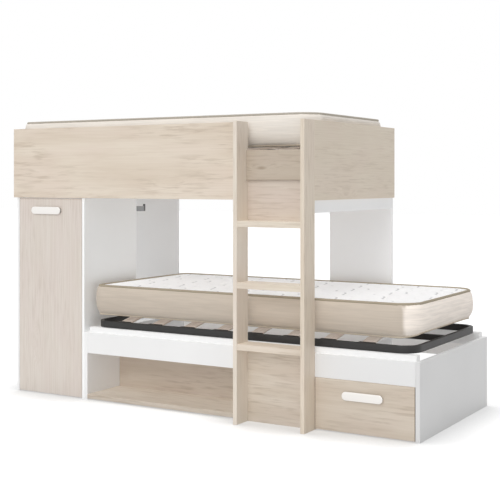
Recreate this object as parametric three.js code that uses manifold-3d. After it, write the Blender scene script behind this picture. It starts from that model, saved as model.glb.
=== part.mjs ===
// Offset bunk bed: an upper bunk over a wardrobe and two back legs, and a lower bunk that is
// pushed to the right, with an open niche, a drawer and a ladder in its front.
// Millimetres. X runs along the beds, Y from front to back, Z up from the floor.

import * as THREE from 'three'
import { mergeVertices } from 'three/addons/utils/BufferGeometryUtils.js'
import Module from 'manifold-3d'

// Clearances and edges
const seam = 0.3 // gap between two boards that meet
const edge = 0.8 // chamfer on the edges of a board
const swingGap = 2 // around the door and the drawer front
const floorGap = 6 // from the floor to the door, the drawer front and the niche board

// Boards
const endBoard = 22 // bed ends and ladder uprights
const railBoard = 18 // rails, guard panels, door and drawer front
const carcassBoard = 16 // wardrobe, partitions, back legs and the upper bed's left end
const backBoard = 10 // wardrobe back
const nicheBoard = 24
const stepBoard = 30

// Mattresses, both alike
const mattressLength = 1890
const mattressWidth = 890
const mattressHeight = 160 // to the top of the piping
const mattressCrown = 8
const mattressCorner = 70 // radius in plan
const mattressDrawIn = 5 // how far a side draws in between its corners
const pipingRound = 6 // radius of the piping

// Slatted bases, both alike
const tubeWidth = 20
const tubeHeight = 36
const frameCorner = 92
const beamWidth = 30
const beamHeight = 30
const slatCount = 8
const slatWidth = 70
const slatThickness = 9
const firstSlat = 182 // from the frame's left end to the first slat's middle
const lastSlat = 259 // from the frame's right end to the last slat's middle
const slatCrown = 42 // from the frame's top to the top of a slat's arch
const slatSeat = -20 // from the frame's top to a slat's underside at its end
const slatEndPlay = 3 // from the tube to a slat's end
const holderLip = 6 // holder material beside a slat
const holderWall = 3.5 // holder material above and below a slat
const holderReach = 28 // how far a holder stands inward of the tube

// Lower bed
const lowerEndPlay = 17 // mattress to bed end
const lowerSidePlay = 18.5 // mattress to rail
const lowerHeight = 371
const lowerRailHeight = 115
const cleatDepth = 40
const cleatHeight = 40 // of the upper cleats, and of the lower ones below the rail's top
const frameRise = 27 // from the rail's top to the slatted base, which lies on the cleats

// Upper bed
const upperEndPlay = 2
const railUnderside = 1109
const upperRailHeight = 391
const upperCleatTop = 200 // above the rail's underside
const stretcherHeight = 61
const stretcherInset = 10 // from the upper bed's right end to the white stretcher and leg
const leftLegWidth = 455
const rightLegWidth = 388

// Ladder, with the entry to the upper bed between its uprights
const ladderWidth = 398
const ladderDepth = 109
const firstStepRise = 28 // from the lower rail's top to the first step's top
const stepPitch = 304
const stepCount = 3
const stepSetback = 2
const entryDrop = 143 // from the rail's top to the entry board's top
const entryBoardHeight = 150
const entryPanelDrop = 17 // from the entry board's top to the top of the panel behind it

// Wardrobe
const wardrobeWidth = 492
const wardrobeDepth = 480
const wardrobeInset = 12 // the upper bed's left end stands out this far
const shelfHeight = 720
const cupRadius = 17.5
const cupDepth = 11
const cupFlange = 4 // flange beyond the cup's radius
const cupFlangeThickness = 1.5
const cupFromEdge = 24 // door edge to the cup's middle
const cupClearance = 0.4
const hingeFromEnd = 110 // door's top and bottom to the hinges
const hingeHeight = 22
const hingeArmReach = 34
const hingeArmLength = 72

// Niche and drawer
const nicheDepth = 288
const drawerSide = 12
const drawerBoxLength = 450
const drawerBoxHeight = 160
const drawerBoxBase = 44 // from the floor to the drawer box
const drawerBottomUp = 6 // from the underside of the drawer box to its bottom panel
const drawerBottomBoard = 6
const runnerGap = 12.5 // beside the drawer box
const runnerLedge = 9 // how far a runner reaches under the drawer side
const runnerSheet = 2
const runnerHeight = 30
const runnerLength = 400

// Handles and the hook behind the wardrobe
const handleLength = 210
const handleHeight = 41
const handleProud = 16
const handleRound = 3
const doorHandleDrop = 68 // door's top to the handle's middle
const doorHandleShift = -22 // from the door's middle
const drawerHandleDrop = 72 // drawer front's top to the handle's middle
const drawerHandleShift = -4
const hookDrop = 85 // from the rail's underside to the hook's underside
const hookReach = 88
const hookBarHeight = 30
const hookTipHeight = 42
const hookTipLength = 14
const hookThickness = 8

// Places along X, worked out from the sizes above
const lowerLength = mattressLength + 2 * (lowerEndPlay + endBoard)
const upperLength = mattressLength + 2 * upperEndPlay + carcassBoard + endBoard
const totalLength = wardrobeInset + wardrobeWidth + lowerLength
const upperLeft = -totalLength / 2
const upperRight = upperLeft + upperLength
const wardrobeLeft = upperLeft + wardrobeInset
const wardrobeRight = wardrobeLeft + wardrobeWidth
const lowerLeft = wardrobeRight
const lowerRight = lowerLeft + lowerLength
const lowerMiddle = (lowerLeft + lowerRight) / 2
const upperMiddle = upperLeft + carcassBoard + upperEndPlay + mattressLength / 2
const ladderRight = upperRight
const ladderLeft = ladderRight - ladderWidth
const legRight = upperRight - stretcherInset

// Places along Y
const lowerDepth = mattressWidth + 2 * (lowerSidePlay + railBoard)
const totalDepth = ladderDepth + lowerDepth + carcassBoard
const ladderFront = -totalDepth / 2
const bedFront = ladderFront + ladderDepth
const lowerBack = bedFront + lowerDepth
const bedBack = lowerBack + carcassBoard
const bedMiddle = (bedFront + lowerBack) / 2
const nicheBack = bedFront + nicheDepth

// Heights
const upperTop = railUnderside + upperRailHeight
const lowerFrameBase = lowerHeight + frameRise
const upperFrameBase = railUnderside + upperCleatTop
const lowerRailBase = lowerHeight - lowerRailHeight
const entryBoardTop = upperTop - entryDrop
const firstStepTop = lowerHeight + firstStepRise
const topStep = firstStepTop + (stepCount - 1) * stepPitch

const half = seam / 2
const ringStep = Math.PI / 2

// Materials
const finishes = {
  oak: { color: 0xdccfbc, roughness: 0.6, metalness: 0 },
  white: { color: 0xf1f1f0, roughness: 0.45, metalness: 0 },
  birch: { color: 0xd9bfa3, roughness: 0.6, metalness: 0 },
  steel: { color: 0x3f3f40, roughness: 0.5, metalness: 0.3 },
  fitting: { color: 0xb4b6b8, roughness: 0.35, metalness: 0.9 },
  hook: { color: 0x8f9092, roughness: 0.4, metalness: 0.7 },
  handle: { color: 0xf8f5ef, roughness: 0.5, metalness: 0 },
  ticking: { color: 0xe6e2da, roughness: 0.9, metalness: 0 }
}

function addMesh (group, name, finish, geometry, x = 0, y = 0, z = 0) {
  const mesh = new THREE.Mesh(geometry, new THREE.MeshStandardMaterial(finishes[finish]))
  mesh.name = name
  mesh.position.set(x, y, z)
  group.add(mesh)
  return mesh
}

// Solids for joining and cutting
const wasm = await Module()
wasm.setup()

function solidOf (geometry) {
  const bare = geometry.clone()
  bare.deleteAttribute('normal')
  bare.deleteAttribute('uv')
  const merged = mergeVertices(bare, 1e-3)
  return new wasm.Manifold(new wasm.Mesh({
    numProp: 3,
    vertProperties: Float32Array.from(merged.attributes.position.array),
    triVerts: Uint32Array.from(merged.index.array)
  }))
}

function geometryOf (solid) {
  const mesh = solid.getMesh()
  const geometry = new THREE.BufferGeometry()
  geometry.setAttribute('position', new THREE.BufferAttribute(mesh.vertProperties, 3))
  geometry.setIndex(new THREE.BufferAttribute(mesh.triVerts, 1))
  return geometry.toNonIndexed()
}

function join (solids) {
  return solids.reduce((whole, solid) => whole.add(solid))
}

function block (xs, ys, zs) {
  const geometry = new THREE.BoxGeometry(xs[1] - xs[0], ys[1] - ys[0], zs[1] - zs[0])
  geometry.translate((xs[0] + xs[1]) / 2, (ys[0] + ys[1]) / 2, (zs[0] + zs[1]) / 2)
  return solidOf(geometry)
}

// A flat outline given thickness along local Z, with its outer edges chamfered or rounded
function plate (shape, thickness, round, segments) {
  const geometry = new THREE.ExtrudeGeometry(shape, {
    depth: thickness - 2 * round,
    bevelEnabled: round > 0,
    bevelThickness: round,
    bevelSize: round,
    bevelOffset: -round,
    bevelSegments: segments,
    curveSegments: 8
  })
  geometry.translate(0, 0, round - thickness / 2)
  return geometry
}

function rectangle (width, height) {
  const shape = new THREE.Shape()
  shape.moveTo(-width / 2, -height / 2)
  shape.lineTo(width / 2, -height / 2)
  shape.lineTo(width / 2, height / 2)
  shape.lineTo(-width / 2, height / 2)
  shape.closePath()
  return shape
}

// Turns local X, Y, Z so that local Z, the thickness, lies along the row axis given
const turns = {
  x: [new THREE.Vector3(0, 1, 0), new THREE.Vector3(0, 0, 1), new THREE.Vector3(1, 0, 0)],
  y: [new THREE.Vector3(0, 0, 1), new THREE.Vector3(1, 0, 0), new THREE.Vector3(0, 1, 0)],
  z: [new THREE.Vector3(1, 0, 0), new THREE.Vector3(0, 1, 0), new THREE.Vector3(0, 0, 1)]
}

function turned (geometry, axis) {
  return geometry.applyMatrix4(new THREE.Matrix4().makeBasis(...turns[axis]))
}

// A chamfered board between six planes. Half a seam comes off each side, so boards that share a
// plane lie a seam apart, and a board that starts at the floor stands on it.
function boardGeometry (xs, ys, zs) {
  const low = [xs[0] + half, ys[0] + half, zs[0] === 0 ? 0 : zs[0] + half]
  const high = [xs[1] - half, ys[1] - half, zs[1] - half]
  const size = high.map((value, i) => value - low[i])
  const thin = size.indexOf(Math.min(...size))
  const shape = rectangle(size[(thin + 1) % 3], size[(thin + 2) % 3])
  const geometry = turned(plate(shape, size[thin], edge, 1), 'xyz'[thin])
  return { geometry, middle: high.map((value, i) => (value + low[i]) / 2) }
}

function board (group, name, finish, xs, ys, zs) {
  const { geometry, middle } = boardGeometry(xs, ys, zs)
  return addMesh(group, name, finish, geometry, ...middle)
}

// Slatted base: a rounded tube ring, a middle beam and a holder at each end of each slat
function roundedRectangle (length, width, radius) {
  const shape = new THREE.Shape()
  const x = length / 2 - radius
  const y = width / 2 - radius
  shape.moveTo(x, -y - radius)
  shape.absarc(x, -y, radius, -ringStep, 0, false)
  shape.absarc(x, y, radius, 0, ringStep, false)
  shape.absarc(-x, y, radius, ringStep, 2 * ringStep, false)
  shape.absarc(-x, -y, radius, 2 * ringStep, 3 * ringStep, false)
  shape.closePath()
  return shape
}

const slatPitch = (mattressLength - firstSlat - lastSlat) / (slatCount - 1)
const slatPlaces = Array.from({ length: slatCount }, (_, i) =>
  firstSlat + i * slatPitch - mattressLength / 2)
const slatEnd = mattressWidth / 2 - tubeWidth - slatEndPlay
const slatRise = slatCrown - slatSeat - slatThickness
const slatRadius = (slatEnd ** 2 + slatRise ** 2) / (2 * slatRise)
const slatTip = slatEnd * (1 + slatThickness / slatRadius)
const archMiddle = slatSeat + slatRise - slatRadius

// An arched slat across the bed, its ends seated below the frame's top, which is at z = 0
function slatGeometry () {
  const angle = Math.asin(slatEnd / slatRadius)
  const outer = slatRadius + slatThickness
  const shape = new THREE.Shape()
  shape.absarc(0, archMiddle, slatRadius, ringStep + angle, ringStep - angle, true)
  shape.absarc(0, archMiddle, outer, ringStep - angle, ringStep + angle, false)
  shape.closePath()
  const geometry = new THREE.ExtrudeGeometry(shape, {
    depth: slatWidth, bevelEnabled: false, curveSegments: 10
  })
  geometry.translate(0, 0, -slatWidth / 2)
  return turned(geometry, 'x')
}

// Middle of the frame at x = 0, y = 0, and its top at z = 0
function slatFrame () {
  const ring = roundedRectangle(mattressLength, mattressWidth, frameCorner)
  ring.holes.push(roundedRectangle(mattressLength - 2 * tubeWidth,
    mattressWidth - 2 * tubeWidth, frameCorner - tubeWidth))
  const tube = plate(ring, tubeHeight, 0, 1)
  tube.translate(0, 0, -tubeHeight / 2)
  const beamEnd = mattressLength / 2 - tubeWidth / 2
  const pieces = [solidOf(tube),
    block([-beamEnd, beamEnd], [-beamWidth / 2, beamWidth / 2], [-beamHeight, 0])]
  const outer = mattressWidth / 2 - tubeWidth + 1
  const inner = mattressWidth / 2 - tubeWidth - holderReach
  const slatTopThere = archMiddle + Math.sqrt((slatRadius + slatThickness) ** 2 - inner ** 2)
  const slotTop = slatTopThere + 2 * seam
  for (const x of slatPlaces) {
    for (const side of [-1, 1]) {
      const span = side < 0 ? [-outer, -inner] : [inner, outer]
      const slot = side < 0 ? [-slatTip - seam, -inner + 1] : [inner - 1, slatTip + seam]
      const wide = slatWidth / 2 + holderLip
      const holder = block([x - wide, x + wide], span,
        [slatSeat - holderWall, slotTop + holderWall])
      const wideSlot = slatWidth / 2 + seam
      pieces.push(holder.subtract(block([x - wideSlot, x + wideSlot], slot,
        [slatSeat - seam, slotTop])))
    }
  }
  return join(pieces)
}

function slattedBase (group, prefix, middle, base, loose) {
  const top = base + tubeHeight
  const frame = slatFrame()
  if (loose) {
    addMesh(group, `${prefix}_slat_frame`, 'steel', geometryOf(frame), middle, bedMiddle, top)
    slatPlaces.forEach((x, i) => {
      addMesh(group, `${prefix}_slat_${i + 1}`, 'birch', slatGeometry(), middle + x, bedMiddle, top)
    })
    return
  }
  const slats = slatPlaces.map(x => {
    const slat = slatGeometry()
    slat.scale(1, (slatEnd + 2 * seam) / slatEnd, 1)
    slat.translate(x, 0, 0)
    return solidOf(slat)
  })
  addMesh(group, `${prefix}_slat_base`, 'birch', geometryOf(join([frame, ...slats])),
    middle, bedMiddle, top)
}

// Mattress: a rounded outline that draws in along its sides, stacked in rings from the flat
// underside over the piped border to the crown
const cornerSteps = 6
const longSteps = 9
const shortSteps = 5

function outline (inset, height) {
  const points = []
  const radius = Math.max(mattressCorner - inset, 4)
  const x = mattressLength / 2 - inset - radius
  const y = mattressWidth / 2 - inset - radius
  const corners = [[x, -y], [x, y], [-x, y], [-x, -y]]
  corners.forEach(([cx, cy], k) => {
    for (let i = 0; i <= cornerSteps; i++) {
      const a = (k - 1) * ringStep + i * ringStep / cornerSteps
      points.push([cx + radius * Math.cos(a), cy + radius * Math.sin(a), height])
    }
    const steps = k % 2 === 0 ? shortSteps : longSteps
    const [nx, ny] = corners[(k + 1) % 4]
    const out = k * ringStep
    for (let i = 1; i < steps; i++) {
      const t = i / steps
      const drawn = radius - mattressDrawIn * Math.sin(Math.PI * t)
      points.push([cx + (nx - cx) * t + drawn * Math.cos(out),
        cy + (ny - cy) * t + drawn * Math.sin(out), height])
    }
  })
  return points
}

function mattressGeometry () {
  const top = mattressHeight
  const groove = pipingRound + 2
  const bulge = 1.5
  const profile = [
    [mattressWidth / 3, 0], [mattressWidth / 8, 0], [pipingRound + 6, 0],
    [pipingRound / 2, 1], [0, pipingRound], [pipingRound / 2, 2 * pipingRound - 1],
    [groove, 2 * pipingRound + 1], [bulge * 2.5, 0.26 * top], [bulge, 0.5 * top],
    [bulge * 2.5, 0.74 * top], [groove, top - 2 * pipingRound - 1],
    [pipingRound / 2, top - 2 * pipingRound + 1], [0, top - pipingRound],
    [pipingRound / 2, top - 1], [pipingRound + 4, top - 2],
    [pipingRound * 5, top + mattressCrown * 0.25],
    [mattressWidth / 8, top + mattressCrown * 0.55],
    [mattressWidth / 4, top + mattressCrown * 0.9],
    [mattressWidth / 2.6, top + mattressCrown]
  ]
  const rings = profile.map(([inset, height]) => outline(inset, height))
  const count = rings[0].length
  const vertices = rings.flat()
  const index = []
  for (let r = 0; r + 1 < rings.length; r++) {
    for (let i = 0; i < count; i++) {
      const a = r * count + i
      const b = r * count + (i + 1) % count
      index.push(a, b, b + count, a, b + count, a + count)
    }
  }
  const low = vertices.push([0, 0, 0]) - 1
  const high = vertices.push([0, 0, top + mattressCrown]) - 1
  const last = (rings.length - 1) * count
  for (let i = 0; i < count; i++) {
    index.push(low, (i + 1) % count, i, high, last + i, last + (i + 1) % count)
  }
  const geometry = new THREE.BufferGeometry()
  geometry.setAttribute('position', new THREE.Float32BufferAttribute(vertices.flat(), 3))
  geometry.setIndex(index)
  return geometry.toNonIndexed()
}

// Handle: a pill-shaped pull that stands out of a front
function handle (group, name, x, z) {
  const radius = handleHeight / 2
  const straight = handleLength / 2 - radius
  const pill = new THREE.Shape()
  pill.moveTo(-straight, -radius)
  pill.lineTo(straight, -radius)
  pill.absarc(straight, 0, radius, -ringStep, ringStep, false)
  pill.lineTo(-straight, radius)
  pill.absarc(-straight, 0, radius, ringStep, 3 * ringStep, false)
  const geometry = plate(pill, handleProud, handleRound, 3)
  geometry.rotateX(ringStep)
  addMesh(group, name, 'handle', geometry, x, bedFront - half - handleProud / 2, z)
}

// Upper bed
function upperBed () {
  const group = new THREE.Group()
  const railFront = bedFront - railBoard
  const entryInner = ladderLeft + endBoard
  board(group, 'upper_front_rail', 'oak',
    [upperLeft, ladderLeft], [railFront, bedFront], [railUnderside, upperTop])
  board(group, 'upper_left_end', 'oak',
    [upperLeft, upperLeft + carcassBoard], [bedFront, lowerBack], [railUnderside, upperTop])
  board(group, 'upper_right_end', 'oak',
    [upperRight - endBoard, upperRight], [bedFront, bedBack], [railUnderside, upperTop])
  board(group, 'upper_back_panel', 'oak',
    [upperLeft, upperRight - endBoard], [lowerBack, bedBack], [railUnderside, upperTop])
  board(group, 'entry_board', 'oak', [entryInner, ladderRight - endBoard],
    [railFront, bedFront], [entryBoardTop - entryBoardHeight, entryBoardTop])
  board(group, 'entry_panel', 'oak', [ladderLeft, legRight - carcassBoard],
    [bedFront, bedFront + railBoard], [topStep - stepBoard, entryBoardTop - entryPanelDrop])
  board(group, 'upper_stretcher', 'white', [legRight - carcassBoard, legRight],
    [bedFront, lowerBack], [railUnderside - stretcherHeight, railUnderside])

  const cleatRight = upperRight - endBoard - half
  const cleatLeft = upperLeft + carcassBoard + half
  const inside = bedMiddle - mattressWidth / 2 + tubeWidth + half
  const front = new THREE.Shape()
  front.moveTo(cleatLeft, bedFront + half)
  front.lineTo(ladderLeft - half, bedFront + half)
  front.lineTo(ladderLeft - half, bedFront + railBoard + half)
  front.lineTo(cleatRight, bedFront + railBoard + half)
  front.lineTo(cleatRight, inside)
  front.lineTo(cleatLeft, inside)
  front.closePath()
  const frontCleat = new THREE.ExtrudeGeometry(front,
    { depth: cleatHeight, bevelEnabled: false })
  const cleatBase = upperFrameBase - half - cleatHeight
  addMesh(group, 'upper_front_cleat', 'white', frontCleat, 0, 0, cleatBase)
  board(group, 'upper_back_cleat', 'white', [cleatLeft - half, cleatRight + half],
    [lowerBack - lowerSidePlay - railBoard - tubeWidth, lowerBack],
    [upperFrameBase - cleatHeight, upperFrameBase])

  slattedBase(group, 'upper', upperMiddle, upperFrameBase + half, false)
  const mattressBase = upperFrameBase + tubeHeight + slatCrown + seam + half
  addMesh(group, 'upper_mattress', 'ticking', mattressGeometry(),
    upperMiddle, bedMiddle, mattressBase)
  return group
}

function backLegs () {
  const group = new THREE.Group()
  board(group, 'back_left_leg', 'white', [wardrobeLeft, wardrobeLeft + leftLegWidth],
    [lowerBack, bedBack], [0, railUnderside])
  board(group, 'back_right_leg', 'white', [legRight - rightLegWidth, legRight],
    [lowerBack, bedBack], [0, railUnderside])
  return group
}

// Lower bed
function lowerBed () {
  const group = new THREE.Group()
  const innerLeft = lowerLeft + endBoard
  const innerRight = lowerRight - endBoard
  const front = [bedFront, bedFront + railBoard]
  const rail = [lowerRailBase, lowerHeight]
  board(group, 'lower_left_end', 'white',
    [lowerLeft, innerLeft], [bedFront, lowerBack], [0, lowerHeight])
  board(group, 'lower_right_end', 'white',
    [innerRight, lowerRight], [bedFront, lowerBack], [0, lowerHeight])
  board(group, 'lower_front_rail_left', 'white', [innerLeft, ladderLeft], front, rail)
  board(group, 'lower_front_rail_right', 'white', [ladderRight, innerRight], front, rail)
  board(group, 'lower_back_rail', 'white',
    [innerLeft, innerRight], [lowerBack - railBoard, lowerBack], rail)
  const cleat = [lowerHeight - cleatHeight, lowerFrameBase]
  board(group, 'lower_front_cleat', 'white', [innerLeft, innerRight],
    [bedFront + railBoard, bedFront + railBoard + cleatDepth], cleat)
  board(group, 'lower_back_cleat', 'white', [innerLeft, innerRight],
    [lowerBack - railBoard - cleatDepth, lowerBack - railBoard], cleat)
  slattedBase(group, 'lower', lowerMiddle, lowerFrameBase + half, true)
  addMesh(group, 'lower_mattress', 'ticking', mattressGeometry(), lowerMiddle, bedMiddle,
    lowerFrameBase + tubeHeight + slatCrown + seam + half)
  return group
}

// Niche, partitions and the panel at the ladder's foot
function base () {
  const group = new THREE.Group()
  const behindRail = bedFront + railBoard
  const underCleat = lowerHeight - cleatHeight
  board(group, 'niche_floor', 'oak', [lowerLeft + endBoard, ladderLeft],
    [bedFront, nicheBack], [floorGap, floorGap + nicheBoard])
  board(group, 'niche_back', 'oak', [lowerLeft + endBoard, ladderLeft],
    [nicheBack, nicheBack + carcassBoard], [floorGap, lowerHeight])
  board(group, 'niche_partition', 'white', [ladderLeft, ladderLeft + carcassBoard],
    [behindRail, nicheBack + carcassBoard], [0, underCleat])
  board(group, 'ladder_base_panel', 'oak',
    [ladderLeft, ladderRight], [bedFront, behindRail], [0, lowerHeight])
  board(group, 'drawer_partition', 'white', [ladderRight - carcassBoard, ladderRight],
    [behindRail, lowerBack - railBoard], [0, underCleat])
  return group
}

// Drawer, with a folded wrap for its sides and back, and the two fixed runners
function drawer () {
  const group = new THREE.Group()
  const bayLeft = ladderRight
  const bayRight = lowerRight - endBoard
  const frontTop = lowerRailBase - swingGap
  const behindFront = bedFront + railBoard
  board(group, 'drawer_front', 'oak', [bayLeft + swingGap, bayRight - swingGap],
    [bedFront, behindFront], [floorGap, frontTop])
  handle(group, 'drawer_handle', (bayLeft + bayRight) / 2 + drawerHandleShift,
    frontTop - drawerHandleDrop)

  const left = bayLeft + runnerGap
  const right = bayRight - runnerGap
  const start = behindFront + half
  const end = start + drawerBoxLength
  const wrap = new THREE.Shape()
  wrap.moveTo(left, start)
  wrap.lineTo(left + drawerSide, start)
  wrap.lineTo(left + drawerSide, end - drawerSide)
  wrap.lineTo(right - drawerSide, end - drawerSide)
  wrap.lineTo(right - drawerSide, start)
  wrap.lineTo(right, start)
  wrap.lineTo(right, end)
  wrap.lineTo(left, end)
  wrap.closePath()
  const wrapGeometry = new THREE.ExtrudeGeometry(wrap,
    { depth: drawerBoxHeight, bevelEnabled: false })
  addMesh(group, 'drawer_wrap', 'white', wrapGeometry, 0, 0, drawerBoxBase)
  const bottom = drawerBoxBase + drawerBottomUp
  board(group, 'drawer_bottom', 'white', [left + drawerSide + half, right - drawerSide - half],
    [behindFront, end - drawerSide - half], [bottom, bottom + drawerBottomBoard])

  // The ledge stands a seam below the drawer side
  const ledgeTop = drawerBoxBase - seam
  for (const [name, wall, way] of [['runner_left', bayLeft, 1], ['runner_right', bayRight, -1]]) {
    const angle = new THREE.Shape()
    const reach = runnerGap + runnerLedge
    angle.moveTo(0, 0)
    angle.lineTo(reach, 0)
    angle.lineTo(reach, runnerSheet)
    angle.lineTo(runnerSheet, runnerSheet)
    angle.lineTo(runnerSheet, runnerHeight)
    angle.lineTo(0, runnerHeight)
    angle.closePath()
    const sheet = new THREE.ExtrudeGeometry(angle, { depth: runnerLength, bevelEnabled: false })
    // Local Z lies along the runner, and the angle opens towards the drawer
    if (way > 0) {
      sheet.rotateX(ringStep)
      sheet.translate(0, runnerLength, 0)
    } else {
      sheet.rotateX(ringStep)
      sheet.rotateZ(2 * ringStep)
    }
    addMesh(group, name, 'fitting', sheet, wall + way * half, behindFront + swingGap,
      ledgeTop - runnerSheet)
  }
  return group
}

// Wardrobe
function wardrobe () {
  const group = new THREE.Group()
  const innerLeft = wardrobeLeft + carcassBoard
  const innerRight = wardrobeRight - carcassBoard
  const back = bedFront + wardrobeDepth
  const behindDoor = bedFront + railBoard + swingGap
  const inside = [innerLeft, innerRight]
  board(group, 'wardrobe_left_side', 'white',
    [wardrobeLeft, innerLeft], [bedFront, back], [0, railUnderside])
  board(group, 'wardrobe_right_side', 'white',
    [innerRight, wardrobeRight], [bedFront, back], [0, railUnderside])
  board(group, 'wardrobe_top', 'white', inside, [behindDoor, back - backBoard],
    [railUnderside - carcassBoard, railUnderside])
  board(group, 'wardrobe_bottom', 'white', inside, [behindDoor, back - backBoard],
    [floorGap, floorGap + carcassBoard])
  board(group, 'wardrobe_back', 'white', inside, [back - backBoard, back],
    [floorGap, railUnderside])
  board(group, 'wardrobe_shelf', 'white', inside,
    [behindDoor + hingeArmLength, back - backBoard], [shelfHeight, shelfHeight + carcassBoard])

  const doorLeft = innerLeft + swingGap
  const doorRight = innerRight - swingGap
  const doorTop = railUnderside - 2 * swingGap
  const { geometry, middle } = boardGeometry(
    [doorLeft, doorRight], [bedFront, bedFront + railBoard], [floorGap, doorTop])
  const doorBack = bedFront + railBoard - half
  const cupX = doorLeft + cupFromEdge
  let door = solidOf(geometry.translate(...middle))
  const hinges = [['lower', floorGap + hingeFromEnd], ['upper', doorTop - hingeFromEnd]]
  for (const [place, z] of hinges) {
    const bore = new THREE.CylinderGeometry(cupRadius + cupClearance, cupRadius + cupClearance,
      cupDepth + cupClearance + 1, 32)
    bore.translate(cupX, doorBack + 1 - (cupDepth + cupClearance + 1) / 2, z)
    door = door.subtract(solidOf(bore))

    const rim = cupRadius + cupFlange
    const cup = new THREE.LatheGeometry([
      new THREE.Vector2(0, 0), new THREE.Vector2(cupRadius - 1, 0),
      new THREE.Vector2(cupRadius, 1), new THREE.Vector2(cupRadius, cupDepth + seam),
      new THREE.Vector2(rim, cupDepth + seam),
      new THREE.Vector2(rim, cupDepth + seam + cupFlangeThickness),
      new THREE.Vector2(0, cupDepth + seam + cupFlangeThickness)], 32)
    addMesh(group, `hinge_cup_${place}`, 'fitting', cup, cupX, doorBack - cupDepth, z)

    const arm = new THREE.Shape()
    arm.moveTo(0, 0)
    arm.lineTo(hingeArmReach, 0)
    arm.lineTo(hingeArmReach, 6)
    arm.quadraticCurveTo(13, 8, 12, 22)
    arm.lineTo(12, hingeArmLength - 10)
    arm.lineTo(8, hingeArmLength - 4)
    arm.lineTo(0, hingeArmLength - 4)
    arm.closePath()
    const armGeometry = new THREE.ExtrudeGeometry(arm,
      { depth: hingeHeight, bevelEnabled: false, curveSegments: 6 })
    armGeometry.translate(0, 0, -hingeHeight / 2)
    addMesh(group, `hinge_arm_${place}`, 'fitting', armGeometry,
      innerLeft + half, doorBack + cupFlangeThickness + 3 * seam, z)
  }
  addMesh(group, 'wardrobe_door', 'oak', geometryOf(door))
  handle(group, 'door_handle', (doorLeft + doorRight) / 2 + doorHandleShift,
    doorTop - doorHandleDrop)

  const hook = new THREE.Shape()
  hook.moveTo(0, 0)
  hook.lineTo(hookReach - 4, 0)
  hook.quadraticCurveTo(hookReach, 0, hookReach, 4)
  hook.lineTo(hookReach, hookTipHeight)
  hook.lineTo(hookReach - hookTipLength + 4, hookTipHeight)
  hook.lineTo(hookReach - hookTipLength, hookBarHeight)
  hook.lineTo(0, hookBarHeight)
  hook.closePath()
  const hookGeometry = new THREE.ExtrudeGeometry(hook,
    { depth: hookThickness, bevelEnabled: false, curveSegments: 4 })
  addMesh(group, 'wardrobe_hook', 'hook', turned(hookGeometry, 'x'),
    wardrobeRight - half - hookThickness - 1, back + half, railUnderside - hookDrop)
  return group
}

// Ladder
function ladder () {
  const group = new THREE.Group()
  board(group, 'ladder_left_upright', 'oak',
    [ladderLeft, ladderLeft + endBoard], [ladderFront, bedFront], [0, upperTop])
  board(group, 'ladder_right_upright', 'oak',
    [ladderRight - endBoard, ladderRight], [ladderFront, bedFront], [0, upperTop])
  for (let i = 0; i < stepCount; i++) {
    const top = firstStepTop + i * stepPitch
    board(group, `ladder_step_${i + 1}`, 'oak',
      [ladderLeft + endBoard, ladderRight - endBoard],
      [ladderFront + stepSetback, bedFront], [top - stepBoard, top])
  }
  return group
}

const bunkBed = new THREE.Group()
bunkBed.name = 'offset_bunk_bed'
bunkBed.add(upperBed(), backLegs(), lowerBed(), base(), drawer(), wardrobe(), ladder())

export default bunkBed
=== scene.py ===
"""Looks of an offset bunk bed: boards, mattresses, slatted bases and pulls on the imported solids."""

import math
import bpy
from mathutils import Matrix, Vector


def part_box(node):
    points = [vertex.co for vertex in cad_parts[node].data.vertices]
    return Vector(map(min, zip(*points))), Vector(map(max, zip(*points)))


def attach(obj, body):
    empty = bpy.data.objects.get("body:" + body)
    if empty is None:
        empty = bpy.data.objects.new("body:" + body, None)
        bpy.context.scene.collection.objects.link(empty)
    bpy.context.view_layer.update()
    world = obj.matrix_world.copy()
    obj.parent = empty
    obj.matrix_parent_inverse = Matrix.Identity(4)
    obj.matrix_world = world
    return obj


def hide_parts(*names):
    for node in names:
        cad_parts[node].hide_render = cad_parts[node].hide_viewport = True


bl_info = {
    "name": "Offset bunk bed",
    "version": (1, 0, 0),
    "blender": (4, 5, 0),
    "location": "3D View > Sidebar > Bunk bed",
    "description": "Dresses the solids of an offset bunk bed with boards, mattresses, slats and pulls",
    "category": "Object",
}

import bpy
import numpy as np
from mathutils import Vector

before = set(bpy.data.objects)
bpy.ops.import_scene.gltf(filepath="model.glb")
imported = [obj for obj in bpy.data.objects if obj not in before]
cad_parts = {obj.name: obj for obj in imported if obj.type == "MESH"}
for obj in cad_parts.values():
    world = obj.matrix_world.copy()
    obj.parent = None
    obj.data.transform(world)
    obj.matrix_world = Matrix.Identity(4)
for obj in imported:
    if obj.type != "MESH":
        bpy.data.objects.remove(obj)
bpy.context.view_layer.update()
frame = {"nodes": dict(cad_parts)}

# Sizes in metres that the solids are built from. Heights of the slats count from the frame's top,
# and the holders' places and the slats' ends from the bed's middle line
BED_MIDDLE = 0.0465
BASE_LENGTH = 1.890
BASE_WIDTH = 0.890
TUBE_WIDTH = 0.020
TUBE_HEIGHT = 0.036
FRAME_CORNER = 0.092
BEAM = 0.030
BEAM_DROP = 0.002
SLAT_COUNT = 8
FIRST_SLAT = 0.182
SLAT_PITCH = 0.207
SLAT_WIDTH = 0.070
SLAT_THICKNESS = 0.009
SLAT_CROWN = 0.042
SLAT_SEAT = -0.020
SLAT_END = 0.422
HOLDER_WIDTH = 0.082
HOLDER_FROM = 0.397
HOLDER_TO = 0.4255
HOLDER_WALL = 0.0035
HOLDER_POCKET = 0.026
MATTRESS_BORDER = 0.160
# Two faces that would lie in one plane stand this far apart
HAIR = 0.0005

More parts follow.
